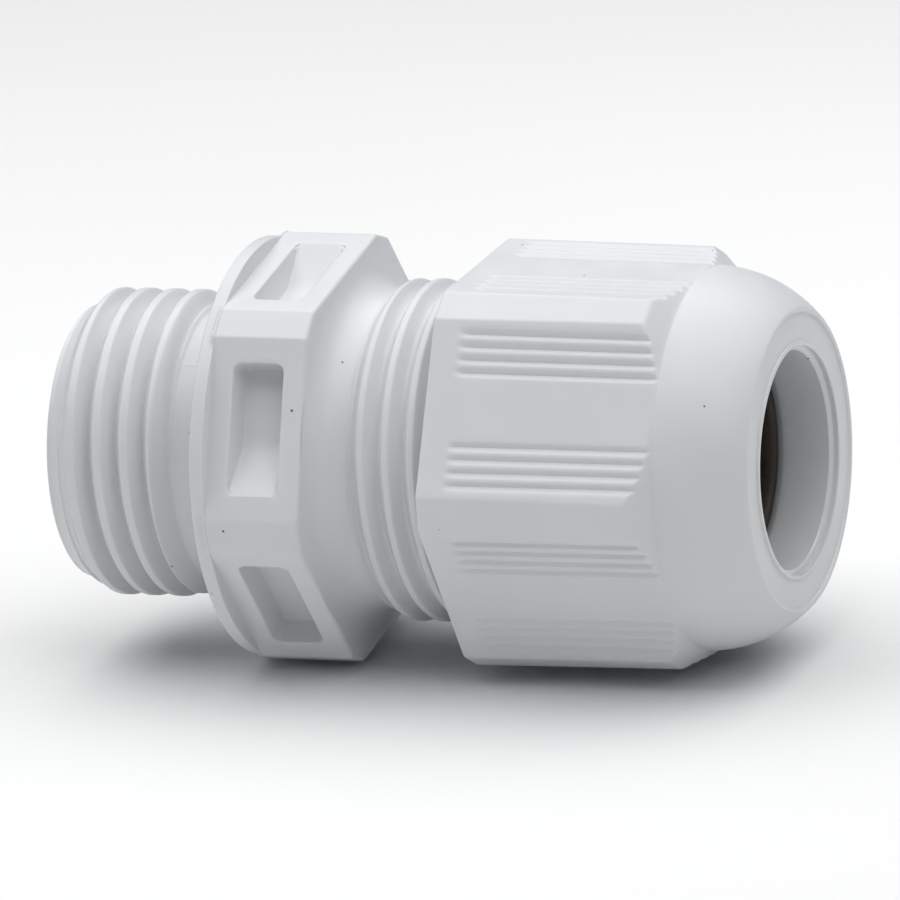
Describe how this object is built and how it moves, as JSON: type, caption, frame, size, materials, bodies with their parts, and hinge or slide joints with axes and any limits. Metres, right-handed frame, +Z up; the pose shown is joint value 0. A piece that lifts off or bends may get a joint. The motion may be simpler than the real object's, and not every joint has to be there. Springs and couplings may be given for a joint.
{
  "type": "cable gland",
  "caption": "Plastic cable gland: threaded and flanged hexagon body, ring of clamping claws round a rubber seal, and a domed cap nut that screws down to grip a cable.",
  "frame": {"origin": "on the gland's axis, in the plane of the flange face that seats on the enclosure wall", "axes": "+X along the axis from the connecting thread to the cap nut's mouth, +Z up, with one flat of the cap nut facing -Z"},
  "size_m": [0.039, 0.0222, 0.0218],
  "materials": {
    "body_plastic": "moulded light grey polyamide",
    "nut_plastic": "moulded light grey polyamide",
    "seal_rubber": "black rubber"
  },
  "bodies": {
    "gland_body": {"gland_body": "body_plastic"},
    "sealing_insert": {"sealing_insert": "seal_rubber"},
    "cap_nut": {"cap_nut": "nut_plastic"},
    "claw_01": {"claw_01": "body_plastic"},
    "claw_02": {"claw_02": "body_plastic"},
    "claw_03": {"claw_03": "body_plastic"},
    "claw_04": {"claw_04": "body_plastic"},
    "claw_05": {"claw_05": "body_plastic"},
    "claw_06": {"claw_06": "body_plastic"},
    "claw_07": {"claw_07": "body_plastic"},
    "claw_08": {"claw_08": "body_plastic"},
    "claw_09": {"claw_09": "body_plastic"},
    "claw_10": {"claw_10": "body_plastic"},
    "claw_11": {"claw_11": "body_plastic"},
    "claw_12": {"claw_12": "body_plastic"}
  },
  "joints": [
    {"name": "nut_turn", "type": "hinge", "parent": "gland_body", "child": "sealing_insert", "pos_m": [0.02, 0, 0], "axis": [1, 0, 0], "range_deg": [-1080, 0], "deforming": ["sealing_insert"]},
    {"name": "nut_travel", "type": "slide", "parent": "sealing_insert", "child": "cap_nut", "axis": [1, 0, 0], "range_m": [-0.0042, 0]},
    {"name": "claw_01_close", "type": "hinge", "parent": "gland_body", "child": "claw_01", "pos_m": [0.0166, 0.00745, 0], "axis": [0, 0, 1], "range_deg": [-25, 0]},
    {"name": "claw_02_close", "type": "hinge", "parent": "gland_body", "child": "claw_02", "pos_m": [0.0166, 0.00645, 0.00373], "axis": [0, -0.5, 0.866], "range_deg": [-25, 0]},
    {"name": "claw_03_close", "type": "hinge", "parent": "gland_body", "child": "claw_03", "pos_m": [0.0166, 0.00373, 0.00645], "axis": [0, -0.866, 0.5], "range_deg": [-25, 0]},
    {"name": "claw_04_close", "type": "hinge", "parent": "gland_body", "child": "claw_04", "pos_m": [0.0166, 0, 0.00745], "axis": [0, -1, 0], "range_deg": [-25, 0]},
    {"name": "claw_05_close", "type": "hinge", "parent": "gland_body", "child": "claw_05", "pos_m": [0.0166, -0.00373, 0.00645], "axis": [0, -0.866, -0.5], "range_deg": [-25, 0]},
    {"name": "claw_06_close", "type": "hinge", "parent": "gland_body", "child": "claw_06", "pos_m": [0.0166, -0.00645, 0.00373], "axis": [0, -0.5, -0.866], "range_deg": [-25, 0]},
    {"name": "claw_07_close", "type": "hinge", "parent": "gland_body", "child": "claw_07", "pos_m": [0.0166, -0.00745, 0], "axis": [0, 0, -1], "range_deg": [-25, 0]},
    {"name": "claw_08_close", "type": "hinge", "parent": "gland_body", "child": "claw_08", "pos_m": [0.0166, -0.00645, -0.00373], "axis": [0, 0.5, -0.866], "range_deg": [-25, 0]},
    {"name": "claw_09_close", "type": "hinge", "parent": "gland_body", "child": "claw_09", "pos_m": [0.0166, -0.00373, -0.00645], "axis": [0, 0.866, -0.5], "range_deg": [-25, 0]},
    {"name": "claw_10_close", "type": "hinge", "parent": "gland_body", "child": "claw_10", "pos_m": [0.0166, 0, -0.00745], "axis": [0, 1, 0], "range_deg": [-25, 0]},
    {"name": "claw_11_close", "type": "hinge", "parent": "gland_body", "child": "claw_11", "pos_m": [0.0166, 0.00373, -0.00645], "axis": [0, 0.866, 0.5], "range_deg": [-25, 0]},
    {"name": "claw_12_close", "type": "hinge", "parent": "gland_body", "child": "claw_12", "pos_m": [0.0166, 0.00645, -0.00373], "axis": [0, 0.5, 0.866], "range_deg": [-25, 0]}
  ],
  "couplings": [
    {"joint": "nut_travel", "follows": "nut_turn", "m_per_rad": 0.00022282},
    {"joint": "claw_01_close", "follows": "nut_turn", "ratio": 0.023148},
    {"joint": "claw_02_close", "follows": "nut_turn", "ratio": 0.023148},
    {"joint": "claw_03_close", "follows": "nut_turn", "ratio": 0.023148},
    {"joint": "claw_04_close", "follows": "nut_turn", "ratio": 0.023148},
    {"joint": "claw_05_close", "follows": "nut_turn", "ratio": 0.023148},
    {"joint": "claw_06_close", "follows": "nut_turn", "ratio": 0.023148},
    {"joint": "claw_07_close", "follows": "nut_turn", "ratio": 0.023148},
    {"joint": "claw_08_close", "follows": "nut_turn", "ratio": 0.023148},
    {"joint": "claw_09_close", "follows": "nut_turn", "ratio": 0.023148},
    {"joint": "claw_10_close", "follows": "nut_turn", "ratio": 0.023148},
    {"joint": "claw_11_close", "follows": "nut_turn", "ratio": 0.023148},
    {"joint": "claw_12_close", "follows": "nut_turn", "ratio": 0.023148}
  ]
}
